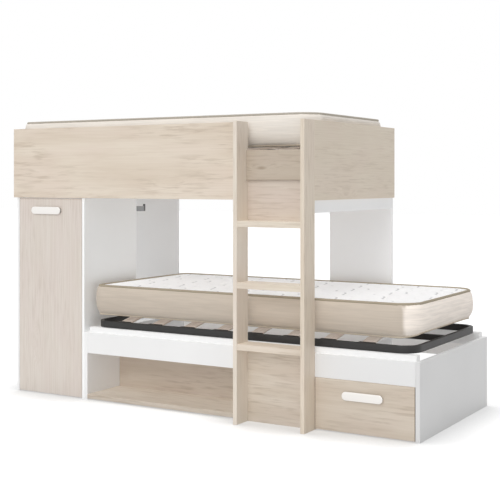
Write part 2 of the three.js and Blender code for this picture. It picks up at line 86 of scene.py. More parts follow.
# Boards: grain axis, tone against the mean, and where on the printed sheet the pattern starts. The
# darker tones of the entry board, the niche's back and floor and the drawer front are painted shade,
# where these boards lie recessed
OAK_BOARDS = {
    "upper_front_rail": ("X", (0.92, 0.91, 0.92), (0.0, 0.0, 0.0)),
    "upper_back_panel": ("X", (0.92, 0.91, 0.92), (3.1, 0.4, 2.0)),
    "upper_left_end": ("Y", (0.92, 0.91, 0.92), (7.3, 1.2, 5.0)),
    "upper_right_end": ("Y", (0.90, 0.89, 0.88), (1.7, 2.6, 0.7)),
    "entry_board": ("X", (0.65, 0.63, 0.62), (5.2, 0.9, 3.3)),
    "entry_panel": ("X", (0.82, 0.81, 0.85), (9.4, 1.5, 6.1)),
    "ladder_base_panel": ("X", (0.81, 0.81, 0.83), (4.4, 2.2, 1.9)),
    "niche_floor": ("X", (0.77, 0.77, 0.79), (8.8, 0.3, 2.8)),
    "niche_back": ("X", (0.74, 0.72, 0.73), (2.2, 3.7, 4.6)),
    "wardrobe_door": ("Z", (0.86, 0.88, 0.96), (6.6, 0.8, 1.4)),
    "drawer_front": ("X", (0.79, 0.78, 0.79), (11.5, 2.9, 7.7)),
    "ladder_left_upright": ("Z", (0.97, 0.99, 1.04), (3.9, 5.1, 0.2)),
    "ladder_right_upright": ("Z", (0.92, 0.91, 0.91), (12.3, 4.2, 3.6)),
    "ladder_step_1": ("X", (0.95, 0.96, 0.98), (0.8, 6.3, 2.1)),
    "ladder_step_2": ("X", (0.95, 0.96, 0.98), (5.7, 7.1, 4.9)),
    "ladder_step_3": ("X", (0.95, 0.96, 0.98), (10.1, 8.4, 6.8)),
}
# Axis, and where along it painted shade in the joint's gap starts to darken a board, and where it is
# darkest
JOINT_SHADE_LINES = {
    "upper_right_end": ("Y", -0.4475, -0.4515),
    "drawer_front": ("X", 1.2095, 1.2115),
    "entry_board": ("Z", 1.2105, 1.2075),
}
# How much knots and bands show on the boards that have less of them
CALM_BOARDS = {
    "wardrobe_door": 0.15, "ladder_left_upright": 0.5, "ladder_right_upright": 0.5,
    "upper_right_end": 0.35, "upper_left_end": 0.35, "entry_panel": 0.7,
}
# White boards toned apart from the mean as painted light and shade: darker on the right end and the
# front rails, lighter on the wardrobe's right side and the back rail, which lie in shade
WHITE_LIGHT_AND_SHADE_TONES = {
    "lower_right_end": 0.81, "lower_front_rail_right": 0.89, "lower_front_rail_left": 0.97,
    "wardrobe_right_side": (1.09, 1.10, 1.10), "lower_back_rail": (1.10, 1.08, 1.06),
}
WHITE_BOARDS = (
    "upper_stretcher", "upper_front_cleat", "upper_back_cleat", "back_left_leg", "back_right_leg",
    "lower_left_end", "lower_right_end", "lower_front_rail_left", "lower_front_rail_right",
    "lower_back_rail", "lower_front_cleat", "lower_back_cleat", "niche_partition", "drawer_partition",
    "wardrobe_left_side", "wardrobe_right_side", "wardrobe_top", "wardrobe_bottom", "wardrobe_back",
    "wardrobe_shelf", "drawer_wrap", "drawer_bottom",
)
STEEL_FITTINGS = (
    "hinge_arm_lower", "hinge_arm_upper", "hinge_cup_lower", "hinge_cup_upper",
    "runner_left", "runner_right",
)


def linear(red, green, blue):
    """A colour written in 0 to 255 as light values, with alpha."""
    made = []
    for level in (red, green, blue):
        share = level / 255
        made.append(share / 12.92 if share <= 0.04045 else ((share + 0.055) / 1.055) ** 2.4)
    return (*made, 1.0)


def color_prop(name, description, red, green, blue):
    return bpy.props.FloatVectorProperty(
        name=name, description=description, subtype="COLOR", size=4, min=0, max=1,
        default=linear(red, green, blue))


def length_prop(name, description, default):
    return bpy.props.FloatProperty(
        name=name, description=description, default=default, min=0, unit="LENGTH")


def number_prop(name, description, default):
    return bpy.props.FloatProperty(name=name, description=description, default=default)


def angle_prop(name, description, degrees):
    return bpy.props.FloatProperty(
        name=name, description=description, default=math.radians(degrees), subtype="ANGLE")


class FinishSettings(bpy.types.PropertyGroup):
    oak_light: color_prop("Oak light", "Pale ground of the washed oak sheet", 236, 225, 208)
    oak_dark: color_prop("Oak dark", "Darker streaks of the washed oak sheet", 208, 190, 167)
    oak_pink: color_prop("Oak pink", "Pinkish patches of the sheet", 233, 217, 203)
    oak_streak: color_prop("Oak streak", "Short darker dashes of the sheet", 186, 168, 146)
    # Painted shade of the gaps in the board joints
    oak_edge: color_prop("Oak edge", "Unsealed edge in the joints", 128, 112, 96)
    oak_knot: color_prop("Oak knot", "Small knots and dark flecks", 170, 148, 124)
    white: color_prop("White board", "White melamine", 244, 244, 244)
    steel: color_prop("Frame steel", "Dark powder coat of the slatted bases", 31, 30, 29)
    rubber: color_prop("Holder", "Slat holders", 52, 50, 49)
    birch: color_prop("Birch", "Lacquered slats", 240, 228, 217)
    birch_dark: color_prop("Birch dark", "Grain lines of the slats", 216, 196, 180)
    fitting: color_prop("Fitting steel", "Hinges and runners", 190, 192, 194)
    hook: color_prop("Hook", "Satin grey of the hook", 150, 151, 152)
    hook_tip: color_prop("Hook tip", "Dark tip of the hook", 92, 92, 92)
    hook_tip_length: length_prop("Hook tip length", "How much of the hook is dark", 0.014)
    # Painted shade: the dark grey neck stands for the shadow round the pulls
    pull_neck: color_prop("Pull neck", "Grey of the neck behind the pulls' plate", 122, 117, 112)
    pull: color_prop("Pull", "Smooth white of the pulls", 246, 243, 239)


class MattressSettings(bpy.types.PropertyGroup):
    top: color_prop("Top", "Quilted top panel", 253, 253, 254)
    # Painted highlight beside the seams' deep stretches
    seam_highlight: color_prop("Raised", "Top panel where it stands proud beside a seam", 255, 255, 255)
    stitch: color_prop("Stitching", "Shade in the stitched seams of the top panel", 150, 150, 154)
    border: color_prop("Border", "Beige border of the upper mattress", 231, 224, 215)
    # Painted shade: the lower border is darker than the upper one
    border_low_shaded: color_prop("Lower border", "Border of the lower mattress", 196, 184, 170)
    under: color_prop("Underside", "Grey fabric that lies on the slats", 150, 141, 131)
    # Painted light on the lower border's free end
    border_end_lit: color_prop("Lower border end", "Border of the lower mattress's free end", 250, 240, 230)
    piping: color_prop("Piping", "Taupe piping round the lower top", 162, 151, 132)
    upper_piping: color_prop("Upper piping", "Greyer piping round the upper top", 178, 171, 159)
    foot_piping: color_prop("Foot piping", "Paler piping round the foot", 190, 178, 160)
    voxel: length_prop("Cell", "Cell of the padded body before it swells", 0.016)
    swell: length_prop("Swell", "Furthest that the padding pushes the cover out", 0.011)
    barrel: length_prop("Barrel", "How far the border stands out at half its height", 0.010)
    tuck: length_prop("Tuck", "How far the border draws in at its foot", 0.012)
    crown: length_prop("Crown", "Rise of the top panel to its middle", 0.008)
    droop: length_prop("Droop", "How far the foot hangs past the slats' arch at its long sides", 0.013)
    head_corner: length_prop("Head corner", "Radius in plan of the corners by the wardrobe", 0.045)
    foot_corner: length_prop("Foot corner", "Radius in plan of the corners at the free end", 0.125)
    quilt_pitch: length_prop("Quilt pitch", "Distance between the wavy seams", 0.080)
    quilt_wave: length_prop("Quilt wave", "Length of one wave of a seam", 0.180)
    quilt_swing: length_prop("Quilt swing", "How far a seam swings to each side", 0.0145)
    quilt_repeat: length_prop("Quilt repeat", "Length after which a seam's deep stretches recur", 0.520)
    quilt_depth: length_prop("Quilt depth", "Depth of the seams", 0.0040)
    quilt_width: length_prop("Quilt width", "Half the width that a seam draws down", 0.014)
    piping_radius: length_prop("Piping radius", "Radius of the piping round the top", 0.0072)
    foot_piping_radius: length_prop("Foot piping radius", "Radius of the piping round the foot", 0.0048)


class PullSettings(bpy.types.PropertyGroup):
    edge: length_prop("Edge", "Rounding of the pulls' front edge", 0.003)
    plate: length_prop("Plate", "Thickness of the plate that is gripped", 0.006)
    undercut: length_prop("Undercut", "How far the neck stands back from the plate's rim", 0.003)


class StageSettings(bpy.types.PropertyGroup):
    sky: number_prop("Sky", "Strength of the even light from all round", 0.43)
    sun: number_prop("Sun", "Strength of the soft lamp", 0.70)
    front_fill: number_prop("Front fill", "Strength of the even lamp from the front", 0.81)
    top_fill: number_prop("Top fill", "Strength of the even lamp from above", 0.83)
    sun_size: angle_prop("Lamp size", "Angle that each lamp fills", 28)
    # Reach of the floor's painted contact shade
    contact: length_prop("Contact", "How far the floor darkens from what stands on it", 0.300)
    lens: number_prop("Lens", "Focal length of the camera, in millimetres", 76.97)
    turn: angle_prop("Turn", "The camera's turn from straight ahead", 30.7)
    rise: number_prop("Shift", "The lens's vertical shift", -0.138)
    place: bpy.props.FloatVectorProperty(
        name="Camera", description="Where the camera stands", size=3, unit="LENGTH",
        default=(3.066, -5.040, 1.203))


# Nodes and groups

def wire(tree, socket, value):
    """Feeds a socket from another socket, or gives it a constant."""
    if isinstance(value, bpy.types.NodeSocket):
        tree.links.new(value, socket)
    else:
        socket.default_value = value


def feed(tree, node, inputs):
    for name, value in inputs.items():
        wire(tree, node.inputs[name], value)


def add_node(tree, kind, inputs, **settings):
    """A node with its settings, and its inputs given as values or as the sockets that feed them."""
    made = tree.nodes.new(kind)
    for name, value in settings.items():
        setattr(made, name, value)
    feed(tree, made, inputs)
    return made


def math_node(tree, operation, first, second=0.0, clamp=False):
    return add_node(tree, "ShaderNodeMath", {0: first, 1: second},
                    operation=operation, use_clamp=clamp).outputs[0]


def times(tree, first, second):
    return math_node(tree, "MULTIPLY", first, second)


def plus(tree, first, second):
    return math_node(tree, "ADD", first, second)


def minus(tree, first, second):
    return math_node(tree, "SUBTRACT", first, second)


def vector_node(tree, operation, first, second):
    return add_node(tree, "ShaderNodeVectorMath", {0: first, 1: second},
                    operation=operation).outputs["Vector"]


def mix_color(tree, factor, first, second, blend="MIX"):
    return add_node(tree, "ShaderNodeMix", {0: factor, 6: first, 7: second},
                    data_type="RGBA", blend_type=blend).outputs[2]


def ramp(tree, value, low, high, start=0.0, end=1.0):
    """Start below low and end above high, eased between them."""
    return add_node(tree, "ShaderNodeMapRange",
                    {"Value": value, "From Min": low, "From Max": high,
                     "To Min": start, "To Max": end},
                    interpolation_type="SMOOTHSTEP").outputs["Result"]


def spread(tree, value, start, end):
    """A value of 0 to 1 laid evenly from start to end."""
    return add_node(tree, "ShaderNodeMapRange",
                    {"Value": value, "To Min": start, "To Max": end}).outputs["Result"]


def noise(tree, place, scale, detail=3.0, distortion=0.0):
    """Noise at one scale, or at a scale for each axis."""
    if isinstance(scale, tuple):
        place = vector_node(tree, "MULTIPLY", place, scale)
        scale = 1.0
    return add_node(tree, "ShaderNodeTexNoise",
                    {"Vector": place, "Scale": scale, "Detail": detail,
                     "Distortion": distortion}).outputs["Fac"]


def new_group(name, inputs, outputs):
    """A shader node group with named sockets, and its input and output nodes."""
    group = bpy.data.node_groups.new(name, "ShaderNodeTree")
    for socket, kind in inputs:
        group.interface.new_socket(socket, in_out="INPUT", socket_type=kind)
    for socket in outputs:
        group.interface.new_socket(socket, in_out="OUTPUT", socket_type="NodeSocketFloat")
    return group, group.nodes.new("NodeGroupInput"), group.nodes.new("NodeGroupOutput")


def oak_grain_group():
    """Washed oak, its grain along X: broad bands, clustered dashes, fine lines, patches and knots."""
    found = bpy.data.node_groups.get("Washed oak grain")
    if found:
        return found
    group, start, end = new_group("Washed oak grain", [("Vector", "NodeSocketVector")],
                                  ["Bands", "Dashes", "Lines", "Pink", "Knots", "Height"])
    place = start.outputs["Vector"]

    # Knots sit in some cells only, and push the grain around themselves to both sides
    cells = add_node(group, "ShaderNodeTexVoronoi",
                     {"Vector": vector_node(group, "MULTIPLY", place, (2.3, 6.4, 6.4)),
                      "Scale": 1.0, "Randomness": 0.9}).outputs
    lot = add_node(group, "ShaderNodeSeparateColor", {0: cells["Color"]}).outputs[0]
    chosen = ramp(group, lot, 0.45, 0.49)
    near = ramp(group, cells["Distance"], 0.0, 0.34, 1.0, 0.0)
    core = ramp(group, cells["Distance"], 0.020, 0.100, 1.0, 0.0)
    pushed = times(group, times(group, near, chosen), 0.022)
    flow = add_node(group, "ShaderNodeCombineXYZ", {1: pushed, 2: pushed}).outputs[0]
    bent = vector_node(group, "ADD", place, flow)

    bands = noise(group, bent, (1.54, 14.0, 14.0), 4.0, 0.7)
    clusters = noise(group, bent, (1.6, 8.0, 8.0), 2.0, 0.4)
    dashes = noise(group, bent, (7.0, 85.0, 85.0), 3.0, 0.25)
    lines = noise(group, bent, (3.0, 240.0, 240.0), 2.0)
    pink = noise(group, place, (2.72, 6.12, 6.12), 2.0, 0.4)
    sparse = times(group, ramp(group, dashes, 0.46, 0.70), ramp(group, clusters, 0.33, 0.62))
    feed(group, end, {
        "Bands": ramp(group, bands, 0.30, 0.72),
        "Dashes": sparse,
        "Lines": ramp(group, lines, 0.35, 0.68),
        "Pink": ramp(group, pink, 0.40, 0.68),
        "Knots": times(group, core, chosen),
        "Height": plus(group, lines, dashes),
    })
    return group


def board_surface_group():
    """Satin sheet: cloudy gloss round a mean, a fine pebble, and faint soil."""
    found = bpy.data.node_groups.get("Satin sheet")
    if found:
        return found
    group, start, end = new_group(
        "Satin sheet", [("Vector", "NodeSocketVector"), ("Gloss", "NodeSocketFloat")],
        ["Roughness", "Height", "Soil"])
    place = start.outputs["Vector"]
    cloud = noise(group, place, 3.0)
    uneven = times(group, minus(group, cloud, 0.5), 0.12)
    feed(group, end, {
        "Roughness": plus(group, uneven, start.outputs["Gloss"]),
        "Height": noise(group, place, 420.0, 2.0),
        "Soil": ramp(group, cloud, 0.35, 0.75),
    })
    return group


def new_material(name):
    made = bpy.data.materials.new(name)
    made.use_nodes = True
    tree = made.node_tree
    return made, tree, tree.nodes["Principled BSDF"]


def object_place(tree, turn=(0, 0, 0), start=(0, 0, 0)):
    """Object coordinates, turned so that the grain runs along X and moved along the sheet."""
    source = add_node(tree, "ShaderNodeTexCoord", {}).outputs["Object"]
    return add_node(tree, "ShaderNodeMapping", {"Vector": source, "Rotation": turn,
                                                "Location": start}).outputs["Vector"]


def place_along(tree, place, axis):
    return add_node(tree, "ShaderNodeSeparateXYZ", {0: place}).outputs[axis]


def bump(tree, height, strength, distance, normal=None):
    made = add_node(tree, "ShaderNodeBump",
                    {"Height": height, "Strength": strength, "Distance": distance})
    if normal is not None:
        wire(tree, made.inputs["Normal"], normal)
    return made.outputs["Normal"]


GRAIN_TURN = {"X": (0, 0, 0), "Y": (0, 0, -math.pi / 2), "Z": (0, math.pi / 2, 0)}


def toned(color, tone):
    """The colour times a tone, which is one number or one for each of red, green and blue."""
    shares = tone if isinstance(tone, tuple) else (tone, tone, tone)
    return (*[min(1.0, level * share) for level, share in zip(color, shares)], 1.0)


def mottled(tree, mask, color, first, second):
    """The colour at its first tone where the mask is 0, and at its second where it is 1."""
    return mix_color(tree, mask, toned(color, first), toned(color, second))


def oak_material(name, finish, axis, tone, start, figure=1.0, joint_shade=None):
    """Washed oak board. A figure under 1 leaves out knots and bands and keeps the fine lines, and a
    joint shade is an axis and the two places between which painted shade darkens the board towards the
    gap at its joint."""
    material, tree, shader = new_material(name)
    place = object_place(tree, GRAIN_TURN[axis], start)
    grain = add_node(tree, "ShaderNodeGroup", {}, node_tree=oak_grain_group())
    sheet = add_node(tree, "ShaderNodeGroup", {}, node_tree=board_surface_group())
    feed(tree, grain, {"Vector": place})
    feed(tree, sheet, {"Vector": place, "Gloss": 0.46})
    masks = grain.outputs
    color = mix_color(tree, times(tree, masks["Pink"], 0.4),
                      toned(finish.oak_light, tone), toned(finish.oak_pink, tone))
    for mask, strength, shade in (
            ("Bands", 0.38 * figure, finish.oak_dark),
            ("Lines", 0.16 + 0.14 * (1 - figure), finish.oak_dark),
            ("Dashes", 0.48 * (0.35 + 0.65 * figure), finish.oak_streak),
            ("Knots", 0.70 * figure, finish.oak_knot)):
        color = mix_color(tree, times(tree, masks[mask], strength), color, toned(shade, tone))
    if joint_shade:
        joint_axis, bright, dark = joint_shade
        # Painted shade towards the gap at the board's joint
        source = add_node(tree, "ShaderNodeTexCoord", {}).outputs["Object"]
        edge = ramp(tree, place_along(tree, source, joint_axis), bright, dark)
        color = mix_color(tree, edge, color, finish.oak_edge)
    feed(tree, shader, {
        "Base Color": color,
        "Roughness": sheet.outputs["Roughness"],
        "Normal": bump(tree, masks["Height"], 0.10, 0.0005),
    })
    return material


def white_material(name, color, tone=1.0):
    material, tree, shader = new_material(name)
    sheet = add_node(tree, "ShaderNodeGroup", {}, node_tree=board_surface_group())
    feed(tree, sheet, {"Vector": object_place(tree), "Gloss": 0.42})
    feed(tree, shader, {
        "Base Color": mottled(tree, sheet.outputs["Soil"], toned(color, tone), 1.0, 0.975),
        "Roughness": sheet.outputs["Roughness"],
        "Normal": bump(tree, sheet.outputs["Height"], 0.06, 0.0003),
    })
    return material


def powder_coat_material(name, color):
    material, tree, shader = new_material(name)
    place = object_place(tree)
    cloud = noise(tree, place, 5.0)
    feed(tree, shader, {
        "Base Color": mottled(tree, cloud, color, 0.92, 1.12),
        "Roughness": spread(tree, cloud, 0.42, 0.58),
        "Normal": bump(tree, noise(tree, place, 650.0, 2.0), 0.25, 0.0004),
    })
    return material


def birch_material(name, finish, start):
    material, tree, shader = new_material(name)
    place = object_place(tree, GRAIN_TURN["Y"], start)
    lines = noise(tree, place, (3.0, 110.0, 110.0), 3.0, 0.4)
    patches = noise(tree, place, (2.0, 14.0, 14.0), 2.0, 0.6)
    figured = mix_color(tree, times(tree, ramp(tree, lines, 0.35, 0.7), 0.5),
                        finish.birch, finish.birch_dark)
    feed(tree, shader, {
        "Base Color": mix_color(tree, times(tree, ramp(tree, patches, 0.4, 0.75), 0.4),
                                figured, finish.birch_dark),
        "Roughness": 0.38,
        "Normal": bump(tree, lines, 0.1, 0.0005),
    })
    return material


def brushed_material(name, color):
    material, tree, shader = new_material(name)
    scratches = noise(tree, object_place(tree), (12.0, 12.0, 900.0), 2.0)
    feed(tree, shader, {
        "Base Color": mottled(tree, scratches, color, 0.85, 1.0),
        "Metallic": 1.0,
        "Roughness": spread(tree, scratches, 0.28, 0.46),
    })
    return material


def hook_material(name, finish, tip_start):
    """Satin grey bar with a darker tip past tip_start along Y."""
    material, tree, shader = new_material(name)
    place = object_place(tree)
    blur = 0.0008
    tip = ramp(tree, place_along(tree, place, "Y"), tip_start - blur, tip_start + blur)
    cloud = noise(tree, place, 60.0, 2.0)
    feed(tree, shader, {
        "Base Color": mix_color(tree, tip, mottled(tree, cloud, finish.hook, 0.94, 1.05),
                                finish.hook_tip),
        "Metallic": 0.35,
        "Roughness": spread(tree, cloud, 0.32, 0.45),
    })
    return material


def pull_material(name, color):
    material, tree, shader = new_material(name)
    cloud = noise(tree, object_place(tree), 30.0, 2.0)
    feed(tree, shader, {
        "Base Color": mottled(tree, cloud, color, 0.985, 1.0),
        "Roughness": spread(tree, cloud, 0.30, 0.40),
    })
    return material


def knit_bump(tree, place):
    """Fine knit: two crossed rows of threads."""
    rows, columns = [
        add_node(tree, "ShaderNodeTexWave", {"Vector": place, "Scale": 45.0},
                 bands_direction=direction, wave_type="BANDS").outputs["Fac"]
        for direction in ("X", "Y")]
    return bump(tree, times(tree, rows, columns), 0.15, 0.0004)


# The seams' way across the panel, how far their deep stretches shift from row to row, how much
# shorter these are in odd rows, and where on their wave they begin and how soon they are full
SEAM_WAY = (0.60, 0.80)
SEAM_SHIFT = 1.9
ODD_ROW = 0.9
STRETCH_START = -0.35
STRETCH_EASE = 0.30
# A seam's shade and the lit line beside it, both in shares of the distance between two seams
SEAM_EDGE = (0.02, 0.12)
LIT_BESIDE = 0.14


def quilt_material(name, cloth):
    """White quilted top: seams that run slantwise in small waves and are pulled deep in stretches, with
    painted shade in these stretches on one slope of each wave and a painted highlight beside them.
    """
    material, tree, shader = new_material(name)
    place = object_place(tree)
    sheet = add_node(tree, "ShaderNodeAttribute", {}, attribute_name="sheet").outputs["Vector"]
    axes = add_node(tree, "ShaderNodeSeparateXYZ", {0: sheet}).outputs
    along = minus(tree, times(tree, axes["X"], SEAM_WAY[0]), times(tree, axes["Y"], SEAM_WAY[1]))
    across = plus(tree, times(tree, axes["X"], SEAM_WAY[1]), times(tree, axes["Y"], SEAM_WAY[0]))
    turn = times(tree, along, 2 * math.pi / cloth.quilt_wave)
    swing = times(tree, math_node(tree, "SINE", turn), cloth.quilt_swing)
    walked = math_node(tree, "DIVIDE", minus(tree, across, swing), cloth.quilt_pitch)
    row = math_node(tree, "ROUND", walked)
    off = minus(tree, walked, row)
    seam, lit = [ramp(tree, math_node(tree, "ABSOLUTE", plus(tree, off, beside)),
                      *SEAM_EDGE, 1.0, 0.0)
                 for beside in (0.0, -LIT_BESIDE)]
    odd = math_node(tree, "MODULO", math_node(tree, "ABSOLUTE", row), 2.0)
    wave = plus(tree, times(tree, along, 2 * math.pi / cloth.quilt_repeat),
                times(tree, row, SEAM_SHIFT))
    repeat = minus(tree, math_node(tree, "COSINE", wave), times(tree, odd, ODD_ROW))
    shown = ramp(tree, repeat, STRETCH_START, STRETCH_START + STRETCH_EASE)
    # The slope of each wave that takes the seams' painted shade and the highlight beside them
    falling = times(tree, math_node(tree, "COSINE", turn), -1.0)
    deep = times(tree, shown, ramp(tree, falling, -0.80, 0.30))
    soft = noise(tree, place, 38.0)
    ground = mottled(tree, ramp(tree, soft, 0.3, 0.7), cloth.top, 0.98, 1.0)
    ground = mix_color(tree, times(tree, lit, deep), ground, cloth.seam_highlight)
    shaded = math_node(tree, "ADD", times(tree, times(tree, seam, deep), 0.54),
                       times(tree, seam, 0.04), clamp=True)
    padded = bump(tree, soft, 0.25, 0.004, knit_bump(tree, place))
    feed(tree, shader, {
        "Base Color": mix_color(tree, shaded, ground, cloth.stitch),
        "Roughness": 0.85,
        "Sheen Weight": 0.15,
        "Normal": bump(tree, minus(tree, 1.0, seam), 0.3, 0.003, padded),
    })
    return material


def border_material(name, color, lit_end_color):
    """Beige border with fine wavy lines round the mattress, and a lighter colour on the free end as
    painted light.
    """
    material, tree, shader = new_material(name)
    place = object_place(tree)
    lines = noise(tree, place, (4.5, 4.5, 150.0), 3.0, 0.5)
    folds = noise(tree, place, (5.0, 5.0, 48.0), 3.0, 0.9)
    free = add_node(tree, "ShaderNodeAttribute", {}, attribute_name="free_end").outputs["Fac"]
    tone = plus(tree, times(tree, lines, 0.5), times(tree, folds, 0.5))
    lined = ramp(tree, tone, 0.36, 0.64)
    feed(tree, shader, {
        "Base Color": mix_color(tree, free, mottled(tree, lined, color, 0.95, 1.04),
                                mottled(tree, lined, lit_end_color, 0.88, 1.04)),
        "Roughness": 0.85,
        "Sheen Weight": 0.15,
        "Normal": bump(tree, tone, 0.45, 0.004, knit_bump(tree, place)),
    })
    return material


def twill_material(name, color):
    """Woven band of the piping, and the plain cloth of the underside."""
    material, tree, shader = new_material(name)
    twill = noise(tree, object_place(tree), 700.0, 2.0)
    feed(tree, shader, {
        "Base Color": mottled(tree, twill, color, 0.9, 1.08),
        "Roughness": 0.8,
        "Normal": bump(tree, twill, 0.3, 0.0005),
    })
    return material


# Modelling

def pick_only(*pieces):
    bpy.ops.object.select_all(action="DESELECT")
    for piece in pieces:
        piece.select_set(True)
    bpy.context.view_layer.objects.active = pieces[-1]


def start_piece(name):
    """Names the primitive that was just added, and puts its place into its mesh."""
    piece = bpy.context.active_object
    piece.name = name
    piece.data.name = name
    pick_only(piece)
    bpy.ops.object.transform_apply(location=True, rotation=True, scale=True)
    return piece


def add_box(name, low, high):
    bpy.ops.object.select_all(action="DESELECT")
    middle = [(a + b) / 2 for a, b in zip(low, high)]
    bpy.ops.mesh.primitive_cube_add(size=1, location=middle,
                                    scale=[b - a for a, b in zip(low, high)])
    return start_piece(name)


def select_parts(piece, kind, wanted):
    """Selects the polygons or edges that the test accepts, in edit mode."""
    pick_only(piece)
    bpy.ops.object.mode_set(mode="EDIT")
    bpy.ops.mesh.select_mode(type="FACE" if kind == "polygons" else "EDGE")
    bpy.ops.mesh.select_all(action="DESELECT")
    bpy.ops.object.mode_set(mode="OBJECT")
    for part in getattr(piece.data, kind):
        part.select = bool(wanted(part))
    bpy.ops.object.mode_set(mode="EDIT")


def bevel_edges(piece, accepts, offset, segments):
    """Bevels the edges whose two ends the test accepts."""
    places = points_of(piece)
    select_parts(piece, "edges", lambda edge: accepts(*[places[i] for i in edge.vertices]))
    bpy.ops.mesh.bevel(offset=offset, segments=segments, affect="EDGES")
    bpy.ops.object.mode_set(mode="OBJECT")


def apply_modifier(piece, kind, **settings):
    pick_only(piece)
    made = piece.modifiers.new(kind.title(), kind)
    for name, value in settings.items():
        setattr(made, name, value)
    bpy.ops.object.modifier_apply(modifier=made.name)


def values_of(parts, name):
    """Three numbers of each vertex or polygon, such as its place or its normal."""
    flat = np.zeros(len(parts) * 3)
    parts.foreach_get(name, flat)
    return flat.reshape(-1, 3)


def points_of(piece):
    return values_of(piece.data.vertices, "co")


def set_points(piece, points):
    piece.data.vertices.foreach_set("co", np.asarray(points).ravel())
    piece.data.update()


def smooth(piece, angle=30):
    pick_only(piece)
    bpy.ops.object.shade_smooth_by_angle(angle=math.radians(angle))


def outward(piece):
    pick_only(piece)
    bpy.ops.object.mode_set(mode="EDIT")
    bpy.ops.mesh.select_all(action="SELECT")
    bpy.ops.mesh.remove_doubles(threshold=1e-6)
    bpy.ops.mesh.normals_make_consistent(inside=False)
    bpy.ops.object.mode_set(mode="OBJECT")


def copy_piece(piece, name, shift):
    made = piece.copy()
    made.data = piece.data.copy()
    made.name = made.data.name = name
    bpy.context.scene.collection.objects.link(made)
    set_points(made, points_of(made) + np.array(shift))
    return made


def join_pieces(name, pieces):
    pick_only(*pieces)
    bpy.ops.object.join()
    made = bpy.context.active_object
    made.name = made.data.name = name
    return made


def paint(piece, *materials):
    piece.data.materials.clear()
    for material in materials:
        piece.data.materials.append(material)


def finish_piece(piece, body, node):
    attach(piece, body)
    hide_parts(node)


# Mattresses

# The padded body: its gap to the solid's box, steps in a rounded corner, rounding of the top and
# foot edges, and the held seams' distance from the top and the foot
BODY_GAP = 0.001
CORNER_STEPS = 14
EDGE_ROUNDING = 0.008
TOP_SEAM = 0.004
FOOT_SEAM = 0.014
# The border's profile in shares of its height, and how far in from the rim it fades out
BARREL_TOP = 0.94
BARREL_FULLNESS = 0.8
TUCK_TOP = 0.34
PROFILE_DEPTH = 0.10
# The share of half the width from which the foot hangs, and the height over which that fades
HANG_START = 0.72
HANG_HEIGHT = 0.080
# How far inside the rim the border's cloth and the underside's begin
BORDER_DEPTH = 0.012
UNDERSIDE_DEPTH = 0.024
# How far the border faces the free end where the end's painted light begins, and over how much it
# blends
LIT_END_FACING = 0.44
LIT_END_BLEND = 0.12
# The piping: its levels under the border's top and over the foot, the distance of its points, the
# steps in a corner, and the share of its radius that stands off the cover
PIPING_DROP = 0.0115
FOOT_PIPING_RISE = 0.006
PIPING_STEP = 0.02545
PIPING_CORNER_STEPS = 12
PIPING_STAND = 0.35
# The cloth simulation's length
SWELL_FRAMES = 20


def eased(value):
    value = np.clip(value, 0, 1)
    return value * value * (3 - 2 * value)


def swell(piece, seams, cloth):
    """Blows the cover up from inside while its seams are held, within the settings' reach."""
    before = points_of(piece)
    near = np.min([np.abs(before[:, 2] - height) for height in seams], axis=0)
    sewn = np.nonzero(near < 0.6 * cloth.voxel)[0]
    pick_only(piece)
    held = piece.vertex_groups.new(name="seams")
    held.add([int(index) for index in sewn], 1.0, "REPLACE")
    cover = piece.modifiers.new("Cover", "CLOTH")
    cover.settings.quality = 5
    cover.settings.mass = 0.3
    cover.settings.tension_stiffness = 15
    cover.settings.compression_stiffness = 15
    cover.settings.bending_stiffness = 0.5
    cover.settings.vertex_group_mass = held.name
    cover.settings.use_pressure = True
    cover.settings.uniform_pressure_force = 45
    cover.settings.effector_weights.gravity = 0
    cover.point_cache.frame_start = 1
    cover.point_cache.frame_end = SWELL_FRAMES
    for step in range(1, SWELL_FRAMES + 1):
        bpy.context.scene.frame_set(step)
    bpy.ops.object.modifier_apply(modifier=cover.name)
    bpy.context.scene.frame_set(1)
    moved = points_of(piece) - before
    reach = np.linalg.norm(moved, axis=1, keepdims=True)
    held_back = np.tanh(reach / cloth.swell) * cloth.swell / np.maximum(reach, 1e-9)
    set_points(piece, before + moved * held_back)


def mattress_form(name, node, cloth):
    """The padded body: a rounded block whose border swells between the two seams."""
    low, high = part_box(node)
    foot = low.z + BODY_GAP
    top = low.z + MATTRESS_BORDER - cloth.swell
    piece = add_box(name, (low.x + BODY_GAP, low.y + BODY_GAP, foot),
                    (high.x - BODY_GAP, high.y - BODY_GAP, top))
    middle = (low.x + high.x) / 2
    for corner, side in ((cloth.head_corner, -1), (cloth.foot_corner, 1)):
        bevel_edges(piece, lambda a, b: abs(a[2] - b[2]) > MATTRESS_BORDER / 2
                    and (a[0] - middle) * side > 0, corner, CORNER_STEPS)
    for level in (top, foot):
        bevel_edges(piece, lambda a, b: max(abs(a[2] - level), abs(b[2] - level)) < 1e-5,
                    EDGE_ROUNDING, 3)
    apply_modifier(piece, "REMESH", mode="VOXEL", voxel_size=cloth.voxel, use_smooth_shade=True)
    swell(piece, (top - TOP_SEAM, low.z + FOOT_SEAM), cloth)
    apply_modifier(piece, "SUBSURF", levels=1, render_levels=1)
    outward(piece)
    return piece, low, high


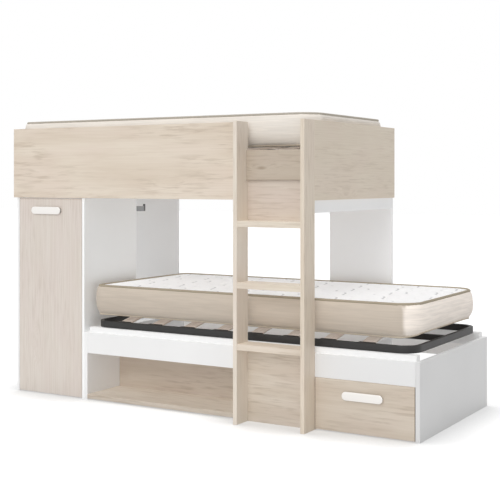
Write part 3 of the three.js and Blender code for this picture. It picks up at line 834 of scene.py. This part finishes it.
def rim_depth(points, low, high, cloth):
    """How far points lie inside the mattress's outline, and the way out of it in plan."""
    middle = np.array([(low.x + high.x) / 2, (low.y + high.y) / 2])
    half = np.array([(high.x - low.x) / 2, (high.y - low.y) / 2])
    off = points[:, :2] - middle
    corner = np.where(off[:, :1] > 0, cloth.foot_corner, cloth.head_corner)
    past = np.abs(off) - half + corner
    outer = np.maximum(past, 0)
    reach = np.linalg.norm(outer, axis=1, keepdims=True)
    depth = corner - reach - np.minimum(past.max(axis=1, keepdims=True), 0)
    nearest = past == past.max(axis=1, keepdims=True)
    way = np.where(reach > 0, outer / np.maximum(reach, 1e-9), nearest) * np.sign(off)
    return depth[:, 0], way


def border_profile(piece, low, high, cloth):
    """Lets the border stand out at half its height and draws it in at its foot."""
    points = points_of(piece)
    depth, way = rim_depth(points, low, high, cloth)
    level = np.clip((points[:, 2] - low.z) / MATTRESS_BORDER, 0, 1)
    out = cloth.barrel * np.sin(np.pi * np.clip(level / BARREL_TOP, 0, 1)) ** BARREL_FULLNESS
    out -= cloth.tuck * eased(1 - level / TUCK_TOP)
    points[:, :2] += way * (out * eased(1 - depth / PROFILE_DEPTH))[:, None]
    set_points(piece, points)


def hang(points, low, high, cloth):
    """How far the foot hangs down at its long sides, where the slats' arch leaves it free."""
    along = 2 * (points[:, 1] - low.y) / (high.y - low.y) - 1
    return cloth.droop * eased((np.abs(along) - HANG_START) / (1 - HANG_START))


def quilt(piece, low, high, cloth):
    """Crowns the top panel, draws it down along the wavy seams, and lets the foot hang."""
    points = points_of(piece)
    upward = eased((values_of(piece.data.vertices, "normal")[:, 2] - 0.3) / 0.5)
    x = points[:, 0] - low.x
    y = points[:, 1] - low.y
    sheet = piece.data.attributes.new("sheet", "FLOAT_VECTOR", "POINT")
    sheet.data.foreach_set("vector", np.stack([x, y, 0 * x], axis=1).ravel())
    rim, _ = rim_depth(points, low, high, cloth)
    across = 2 * x / (high.x - low.x) - 1
    along = 2 * y / (high.y - low.y) - 1
    crown = cloth.crown * (1 - np.abs(across) ** 4) * (1 - np.abs(along) ** 3)
    ahead = SEAM_WAY[0] * x - SEAM_WAY[1] * y
    aside = SEAM_WAY[1] * x + SEAM_WAY[0] * y
    turn = 2 * np.pi * ahead / cloth.quilt_wave
    walked = (aside - cloth.quilt_swing * np.sin(turn)) / cloth.quilt_pitch
    row = np.round(walked)
    drawn = np.exp(-((walked - row) * cloth.quilt_pitch / cloth.quilt_width) ** 2)
    repeat = np.cos(2 * np.pi * ahead / cloth.quilt_repeat + row * SEAM_SHIFT)
    shown = eased((repeat - ODD_ROW * (np.abs(row) % 2) - STRETCH_START) / STRETCH_EASE)
    shallow = 0.35
    drawn *= shallow + (1 - shallow) * shown * eased(0.5 - np.cos(turn))
    fade = eased((rim - BORDER_DEPTH) / 0.05)
    points[:, 2] += upward * (crown - cloth.quilt_depth * drawn * fade)
    points[:, 2] = np.clip(points[:, 2], low.z + HAIR, high.z)
    foot = eased(1 - (points[:, 2] - low.z) / HANG_HEIGHT)
    points[:, 2] -= foot * hang(points, low, high, cloth)
    set_points(piece, points)


def border_split(piece, low, high, cloth):
    """The top panel takes the first material, the border the second and the underside the third."""
    centres = values_of(piece.data.polygons, "center")
    upright = values_of(piece.data.polygons, "normal")[:, 2]
    depth, _ = rim_depth(centres, low, high, cloth)
    under_piping = centres[:, 2] < low.z + MATTRESS_BORDER - PIPING_DROP
    side = (under_piping & (depth < BORDER_DEPTH)) | (upright < 0.1)
    under = (upright < -0.3) & (depth > UNDERSIDE_DEPTH)
    piece.data.polygons.foreach_set("material_index", np.where(under, 2, side).astype(np.int32))
    # Painted light on the free end, from how far each point faces it
    free = piece.data.attributes.new("free_end", "FLOAT", "POINT")
    endward = values_of(piece.data.vertices, "normal")[:, 0]
    free.data.foreach_set("value", eased((endward - LIT_END_FACING) / LIT_END_BLEND))


def between_boards(piece, low, high):
    """Presses the padded body flat where it would stand past the boards at its two ends."""
    points = points_of(piece)
    points[:, 0] = np.clip(points[:, 0], low.x + HAIR, high.x - HAIR)
    set_points(piece, points)


def outline_points(low, high, cloth):
    """Points round the mattress's rounded outline: x, y and the turn of the way out at each."""
    around = [(high.x, low.y, 1, -1, cloth.foot_corner), (high.x, high.y, 1, 1, cloth.foot_corner),
              (low.x, high.y, -1, 1, cloth.head_corner), (low.x, low.y, -1, -1, cloth.head_corner)]
    made = []
    for index, (x, y, side_x, side_y, radius) in enumerate(around):
        for step in range(PIPING_CORNER_STEPS + 1):
            turn = math.pi / 2 * (index - 1 + step / PIPING_CORNER_STEPS)
            made.append((x - side_x * radius + radius * math.cos(turn),
                         y - side_y * radius + radius * math.sin(turn), turn))
    path = []
    for index, (x, y, turn) in enumerate(made):
        next_x, next_y, next_turn = made[(index + 1) % len(made)]
        steps = max(1, round(math.dist((x, y), (next_x, next_y)) / PIPING_STEP))
        ahead = (next_turn - turn) % (2 * math.pi)
        for step in range(steps):
            share = step / steps
            path.append((x + (next_x - x) * share, y + (next_y - y) * share, turn + ahead * share))
    return np.array(path)


def piping(name, mattress, path, levels, radius, material):
    """A round cord sewn on the cover along a path and its levels, laid on the swollen side."""
    bpy.context.view_layer.update()
    outside = 0.05
    tucked = 0.006
    points = []
    for (x, y, turn), z in zip(path, levels):
        out = Vector((math.cos(turn), math.sin(turn), 0))
        hit, place, _, _ = mattress.ray_cast(Vector((x, y, z)) + out * outside, -out)
        if not hit:
            place = Vector((x, y, z)) - out * tucked
        points.append(place + out * radius * PIPING_STAND)
    curve = bpy.data.curves.new(name, "CURVE")
    curve.dimensions = "3D"
    curve.bevel_depth = radius
    curve.bevel_resolution = 3
    spline = curve.splines.new("POLY")
    spline.points.add(len(points) - 1)
    for target, point in zip(spline.points, points):
        target.co = (*point, 1)
    spline.use_cyclic_u = True
    piece = bpy.data.objects.new(name, curve)
    bpy.context.scene.collection.objects.link(piece)
    pick_only(piece)
    bpy.ops.object.convert(target="MESH")
    piece = bpy.context.active_object
    outward(piece)
    smooth(piece, 60)
    paint(piece, material)
    return piece


# Slatted bases

def slat_places(middle):
    first = middle - BASE_LENGTH / 2 + FIRST_SLAT
    return [first + index * SLAT_PITCH for index in range(SLAT_COUNT)]


def soften(piece, width, segments, angle):
    """Rounds the edges that are sharper than an angle in degrees."""
    apply_modifier(piece, "BEVEL", width=width, segments=segments, limit_method="ANGLE",
                   angle_limit=math.radians(angle))
    smooth(piece)


def tube_frame(name, middle, top):
    """Flat steel tube bent round the four corners, with softened edges."""
    bpy.ops.object.select_all(action="DESELECT")
    bpy.ops.mesh.primitive_plane_add(size=1, location=(middle, BED_MIDDLE, top - TUBE_HEIGHT))
    bpy.context.active_object.scale = (BASE_LENGTH, BASE_WIDTH, 1)
    piece = start_piece(name)
    bpy.ops.object.mode_set(mode="EDIT")
    bpy.ops.mesh.select_all(action="SELECT")
    bpy.ops.mesh.bevel(offset=FRAME_CORNER, segments=14, affect="VERTICES")
    bpy.ops.mesh.select_mode(type="FACE")
    bpy.ops.mesh.select_all(action="SELECT")
    bpy.ops.mesh.inset(thickness=TUBE_WIDTH, depth=0, use_even_offset=True)
    bpy.ops.mesh.delete(type="FACE")
    bpy.ops.mesh.select_all(action="SELECT")
    bpy.ops.mesh.extrude_region_move(TRANSFORM_OT_translate={"value": (0, 0, TUBE_HEIGHT)})
    bpy.ops.object.mode_set(mode="OBJECT")
    outward(piece)
    soften(piece, 0.0025, 3, 50)
    return piece


def frame_beam(name, middle, top):
    end = BASE_LENGTH / 2 - TUBE_WIDTH / 2
    piece = add_box(name, (middle - end, BED_MIDDLE - BEAM / 2, top - BEAM),
                    (middle + end, BED_MIDDLE + BEAM / 2, top - BEAM_DROP))
    soften(piece, 0.002, 3, 30)
    return piece


def arched_slat(name, place, top):
    """One laminated slat, sprung up in its middle, its long edges rounded."""
    rise = SLAT_CROWN - SLAT_SEAT - SLAT_THICKNESS
    radius = (SLAT_END ** 2 + rise ** 2) / (2 * rise)
    bpy.ops.object.select_all(action="DESELECT")
    bpy.ops.mesh.primitive_grid_add(x_subdivisions=1, y_subdivisions=28, size=1,
                                    location=(place, BED_MIDDLE, top))
    bpy.context.active_object.scale = (SLAT_WIDTH, 2 * SLAT_END, 1)
    piece = start_piece(name)
    points = points_of(piece)
    off = points[:, 1] - BED_MIDDLE
    points[:, 2] = (top + SLAT_SEAT + rise - radius) + np.sqrt(radius ** 2 - off ** 2)
    set_points(piece, points)
    apply_modifier(piece, "SOLIDIFY", thickness=SLAT_THICKNESS, offset=1)
    outward(piece)
    soften(piece, 0.0028, 3, 50)
    return piece


def slat_holder(name, place, side, top):
    """A moulded cap inside the tube, its pocket open towards the middle."""
    ends = sorted((BED_MIDDLE + side * HOLDER_FROM, BED_MIDDLE + side * HOLDER_TO))
    wide = HOLDER_WIDTH / 2
    piece = add_box(name, (place - wide, ends[0], top + SLAT_SEAT - HOLDER_WALL),
                    (place + wide, ends[1], top - HAIR))
    select_parts(piece, "polygons", lambda f: f.normal.y * side < -0.9)
    bpy.ops.mesh.inset(thickness=HOLDER_WALL, depth=0)
    bpy.ops.mesh.extrude_region_move(
        TRANSFORM_OT_translate={"value": (0, side * HOLDER_POCKET, 0)})
    bpy.ops.object.mode_set(mode="OBJECT")
    outward(piece)
    soften(piece, 0.0016, 2, 40)
    return piece


def slatted_base(prefix, middle, top, finish):
    steel = powder_coat_material(f"{prefix}_frame_coat", finish.steel)
    rubber = powder_coat_material(f"{prefix}_holder_rubber", finish.rubber)
    ring = tube_frame(f"{prefix}_base_tube", middle, top)
    beam = frame_beam(f"{prefix}_base_beam", middle, top)
    holders = [slat_holder(f"{prefix}_holder", place, side, top)
               for place in slat_places(middle) for side in (-1, 1)]
    caps = join_pieces(f"{prefix}_base_holders", holders)
    paint(ring, steel)
    paint(beam, steel)
    paint(caps, rubber)
    slats = []
    for index, place in enumerate(slat_places(middle)):
        slat = arched_slat(f"{prefix}_base_slat_{index + 1}", place, top)
        paint(slat, birch_material(f"{prefix}_slat_{index + 1}_birch", finish,
                                   (index * 1.37, index * 0.71, 0.0)))
        slats.append(slat)
    return ring, beam, caps, slats


# Pulls

def pill_block(name, low, high, round_edge=0):
    """A pill-shaped block that stands along Y, both ends round, its front edge softened."""
    piece = add_box(name, low, high)
    bevel_edges(piece, lambda a, b: abs(a[1] - b[1]) > 0.6 * (high[1] - low[1]),
                (high[2] - low[2]) / 2 - 0.0001, 16)
    if round_edge:
        bevel_edges(piece, lambda a, b: max(a[1], b[1]) < low[1] + HAIR, round_edge, 5)
    outward(piece)
    return piece


def plate_pull(name, node, pull, white, grey):
    """A white plate on a neck that stands back from its rim, the neck dark grey as painted shade round
    the plate.
    """
    low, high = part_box(node)
    back = low.y + pull.plate
    plate = pill_block(f"{name}_plate", low, (high.x, back, high.z), pull.edge)
    neck = pill_block(f"{name}_neck", (low.x + pull.undercut, back - HAIR, low.z + pull.undercut),
                      (high.x - pull.undercut, high.y, high.z - pull.undercut))
    paint(neck, grey)
    paint(plate, white)
    piece = join_pieces(name, [neck, plate])
    smooth(piece)
    return piece


# Stage

# Each lamp's setting, where it shines from, and whether it casts shadows
LAMPS = (
    ("sun", (0.0, -0.40, 0.25), True),
    ("front_fill", (0.36, -0.72, 0.58), False),
    ("top_fill", (0.0, 0.0, 1.0), False),
)
FLOOR_SIZE = 60
# The floor: how open it is where its painted contact shade starts, how steeply that darkens it, its
# darkest share, the light it sends back to the object, and its own glow to the camera
OPEN_FROM = 0.5
SHADE_POWER = 1.2
SHADE_FLOOR = 0.62
BOUNCE = 0.8
GLOW = 0.20


def seen_directly(tree):
    """1 for what the camera sees itself, by a glossy reflection or through something clear."""
    path = add_node(tree, "ShaderNodeLightPath", {}).outputs
    indirect = math_node(tree, "MAXIMUM", path["Is Glossy Ray"], path["Is Transmission Ray"])
    return math_node(tree, "MAXIMUM", path["Is Camera Ray"], indirect)


def add_camera(scene, stage):
    camera = bpy.data.objects.new("camera", bpy.data.cameras.new("camera"))
    scene.collection.objects.link(camera)
    camera.location = stage.place
    camera.rotation_euler = (math.pi / 2, 0, stage.turn)
    camera.data.lens = stage.lens
    camera.data.sensor_width = 36
    camera.data.shift_y = stage.rise
    camera.data.clip_end = 200
    scene.camera = camera


def add_lamps(scene, stage):
    for setting, towards, shadow in LAMPS:
        lamp = bpy.data.objects.new(setting, bpy.data.lights.new(setting, "SUN"))
        scene.collection.objects.link(lamp)
        lamp.data.energy = getattr(stage, setting)
        lamp.data.angle = stage.sun_size
        lamp.data.use_shadow = shadow
        lamp.rotation_euler = Vector(towards).to_track_quat("Z", "Y").to_euler()


def add_sky(scene, stage):
    world = bpy.data.worlds.new("sky")
    scene.world = world
    world.use_nodes = True
    tree = world.node_tree
    feed(tree, tree.nodes["Background"], {
        "Color": (1, 1, 1, 1),
        "Strength": spread(tree, seen_directly(tree), stage.sky, 1.0),
    })


def floor_material(name, stage):
    """White floor with painted shade that darkens it close to what stands on it."""
    material, tree, shader = new_material(name)
    seen = seen_directly(tree)
    # Painted contact shade from the occlusion near the floor
    near = add_node(tree, "ShaderNodeAmbientOcclusion", {"Distance": stage.contact},
                    samples=16).outputs["AO"]
    clear = add_node(tree, "ShaderNodeMapRange",
                     {"Value": near, "From Min": OPEN_FROM}).outputs["Result"]
    open_floor = spread(tree, math_node(tree, "POWER", clear, SHADE_POWER), SHADE_FLOOR, 1.0)
    white = mix_color(tree, seen, (BOUNCE, BOUNCE, BOUNCE, 1), (1, 1, 1, 1))
    feed(tree, shader, {
        "Base Color": mix_color(tree, 1.0, white, open_floor, "MULTIPLY"),
        "Roughness": 1.0,
        "Specular IOR Level": 0.0,
        "Emission Color": (1, 1, 1, 1),
        "Emission Strength": times(tree, times(tree, seen, open_floor), GLOW),
    })
    return material


# Operators

class BUNK_OT_stage(bpy.types.Operator):
    """White floor and sky, one soft lamp, two even ones, and the camera of the picture"""
    bl_idname = "bunk.stage"
    bl_label = "Stage"

    def execute(self, context):
        scene = context.scene
        stage = scene.bunk_stage
        scene.view_settings.view_transform = "Standard"
        add_camera(scene, stage)
        add_lamps(scene, stage)
        add_sky(scene, stage)
        bpy.ops.object.select_all(action="DESELECT")
        bpy.ops.mesh.primitive_plane_add(size=FLOOR_SIZE, location=(0, 0, 0))
        floor = start_piece("floor")
        paint(floor, floor_material("white_floor", stage))
        return {"FINISHED"}


class BUNK_OT_boards(bpy.types.Operator):
    """Washed oak on the oak boards and white melamine on the rest, each board with its own sheet"""
    bl_idname = "bunk.boards"
    bl_label = "Boards"

    def execute(self, context):
        finish = context.scene.bunk_finish
        nodes = frame["nodes"]
        for name, (axis, tone, start) in OAK_BOARDS.items():
            paint(nodes[name], oak_material(f"{name}_oak", finish, axis, tone, start,
                                            CALM_BOARDS.get(name, 1.0), JOINT_SHADE_LINES.get(name)))
        white = white_material("white_melamine", finish.white)
        for name in WHITE_BOARDS:
            paint(nodes[name], white)
        # Painted light and shade on single white boards
        for name, tone in WHITE_LIGHT_AND_SHADE_TONES.items():
            paint(nodes[name], white_material(f"{name}_melamine", finish.white, tone))
        return {"FINISHED"}


class BUNK_OT_fittings(bpy.types.Operator):
    """Plated steel on the hinges and runners, satin grey on the hook"""
    bl_idname = "bunk.fittings"
    bl_label = "Fittings"

    def execute(self, context):
        finish = context.scene.bunk_finish
        plated = brushed_material("plated_steel", finish.fitting)
        for name in STEEL_FITTINGS:
            paint(frame["nodes"][name], plated)
        tip_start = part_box("wardrobe_hook")[1].y - finish.hook_tip_length
        paint(frame["nodes"]["wardrobe_hook"], hook_material("hook_satin", finish, tip_start))
        return {"FINISHED"}


class BUNK_OT_pulls(bpy.types.Operator):
    """Pill-shaped pulls on the door and the drawer, each a plate on a narrower neck"""
    bl_idname = "bunk.pulls"
    bl_label = "Pulls"

    def execute(self, context):
        finish = context.scene.bunk_finish
        white = pull_material("pull_white", finish.pull)
        # The neck's grey is painted shade round the plate
        grey = pull_material("pull_neck_grey", finish.pull_neck)
        for node, body in (("door_handle", "door"), ("drawer_handle", "drawer")):
            piece = plate_pull(f"{body}_pull", node, context.scene.bunk_pull, white, grey)
            finish_piece(piece, body, node)
        return {"FINISHED"}


class BUNK_OT_bases(bpy.types.Operator):
    """Slatted bases: bent tube frame, middle beam, sprung slats and their holders"""
    bl_idname = "bunk.bases"
    bl_label = "Slatted bases"

    def execute(self, context):
        finish = context.scene.bunk_finish
        lower_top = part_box("lower_slat_frame")[1].z
        upper_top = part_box("upper_slat_base")[0].z + TUBE_HEIGHT
        slat_nodes = [f"lower_slat_{index + 1}" for index in range(SLAT_COUNT)]
        for prefix, top, frame_node, nodes in (
                ("lower", lower_top, "lower_slat_frame", slat_nodes),
                ("upper", upper_top, "upper_slat_base", ["upper_slat_base"] * SLAT_COUNT)):
            low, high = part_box(frame_node)
            ring, beam, caps, slats = slatted_base(prefix, (low.x + high.x) / 2, top, finish)
            for piece in (ring, beam, caps):
                finish_piece(piece, "bed", frame_node)
            for slat, node in zip(slats, nodes):
                finish_piece(slat, "bed", node)
        return {"FINISHED"}


class BUNK_OT_mattresses(bpy.types.Operator):
    """Two quilted mattresses: padded body, beige border, piping round the top and the foot"""
    bl_idname = "bunk.mattresses"
    bl_label = "Mattresses"

    def execute(self, context):
        cloth = context.scene.bunk_mattress
        top_panel = quilt_material("mattress_top", cloth)
        # The lower border: painted shade on its sides, painted light on its free end
        border = border_material("lower_mattress_border", cloth.border_low_shaded, cloth.border_end_lit)
        upper_border = border_material("upper_mattress_border", cloth.border, cloth.border)
        rim_cord = twill_material("lower_mattress_piping", cloth.piping)
        upper_rim_cord = twill_material("upper_mattress_piping", cloth.upper_piping)
        foot_cord = twill_material("mattress_foot_piping", cloth.foot_piping)
        lower, low, high = mattress_form("lower_mattress_padded", "lower_mattress", cloth)
        border_profile(lower, low, high, cloth)
        quilt(lower, low, high, cloth)
        paint(lower, top_panel, border, twill_material("mattress_underside", cloth.under))
        border_split(lower, low, high, cloth)
        pick_only(lower)
        bpy.ops.object.shade_smooth()
        upper_low, upper_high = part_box("upper_mattress")
        upper = copy_piece(lower, "upper_mattress_padded", upper_low - low)
        upper.data.materials[1] = upper_border
        between_boards(upper, upper_low, upper_high)
        for name, piece, start, end, cord in (
                ("lower", lower, low, high, rim_cord),
                ("upper", upper, upper_low, upper_high, upper_rim_cord)):
            path = outline_points(start, end, cloth)
            rim_levels = np.full(len(path), start.z + MATTRESS_BORDER - PIPING_DROP)
            foot_levels = start.z + FOOT_PIPING_RISE - hang(path, start, end, cloth)
            rim = piping(f"{name}_mattress_piping_top", piece, path, rim_levels,
                         cloth.piping_radius, cord)
            foot = piping(f"{name}_mattress_piping_foot", piece, path, foot_levels,
                          cloth.foot_piping_radius, foot_cord)
            for part in (piece, rim, foot):
                finish_piece(part, "bed", f"{name}_mattress")
        return {"FINISHED"}


class BUNK_PT_panel(bpy.types.Panel):
    """Lists the bed's pieces and their settings"""
    bl_idname = "BUNK_PT_panel"
    bl_label = "Offset bunk bed"
    bl_space_type = "VIEW_3D"
    bl_region_type = "UI"
    bl_category = "Bunk bed"

    def draw(self, context):
        for operator in PIECES:
            self.layout.operator(operator.bl_idname)
        for settings in ("bunk_finish", "bunk_mattress", "bunk_pull", "bunk_stage"):
            group = getattr(context.scene, settings)
            column = self.layout.column()
            for name in type(group).__annotations__:
                column.prop(group, name)


SETTINGS = {
    "bunk_finish": FinishSettings,
    "bunk_mattress": MattressSettings,
    "bunk_pull": PullSettings,
    "bunk_stage": StageSettings,
}
PIECES = (BUNK_OT_stage, BUNK_OT_boards, BUNK_OT_fittings, BUNK_OT_pulls, BUNK_OT_bases,
          BUNK_OT_mattresses)


def register():
    for kind in (*SETTINGS.values(), *PIECES, BUNK_PT_panel):
        bpy.utils.register_class(kind)
    for name, kind in SETTINGS.items():
        setattr(bpy.types.Scene, name, bpy.props.PointerProperty(type=kind))


def unregister():
    for name in SETTINGS:
        delattr(bpy.types.Scene, name)
    for kind in reversed((*SETTINGS.values(), *PIECES, BUNK_PT_panel)):
        bpy.utils.unregister_class(kind)


def main():
    register()
    bpy.ops.bunk.stage()
    bpy.ops.bunk.boards()
    bpy.ops.bunk.fittings()
    bpy.ops.bunk.pulls()
    bpy.ops.bunk.bases()
    bpy.ops.bunk.mattresses()


if __name__ == "__main__":
    main()
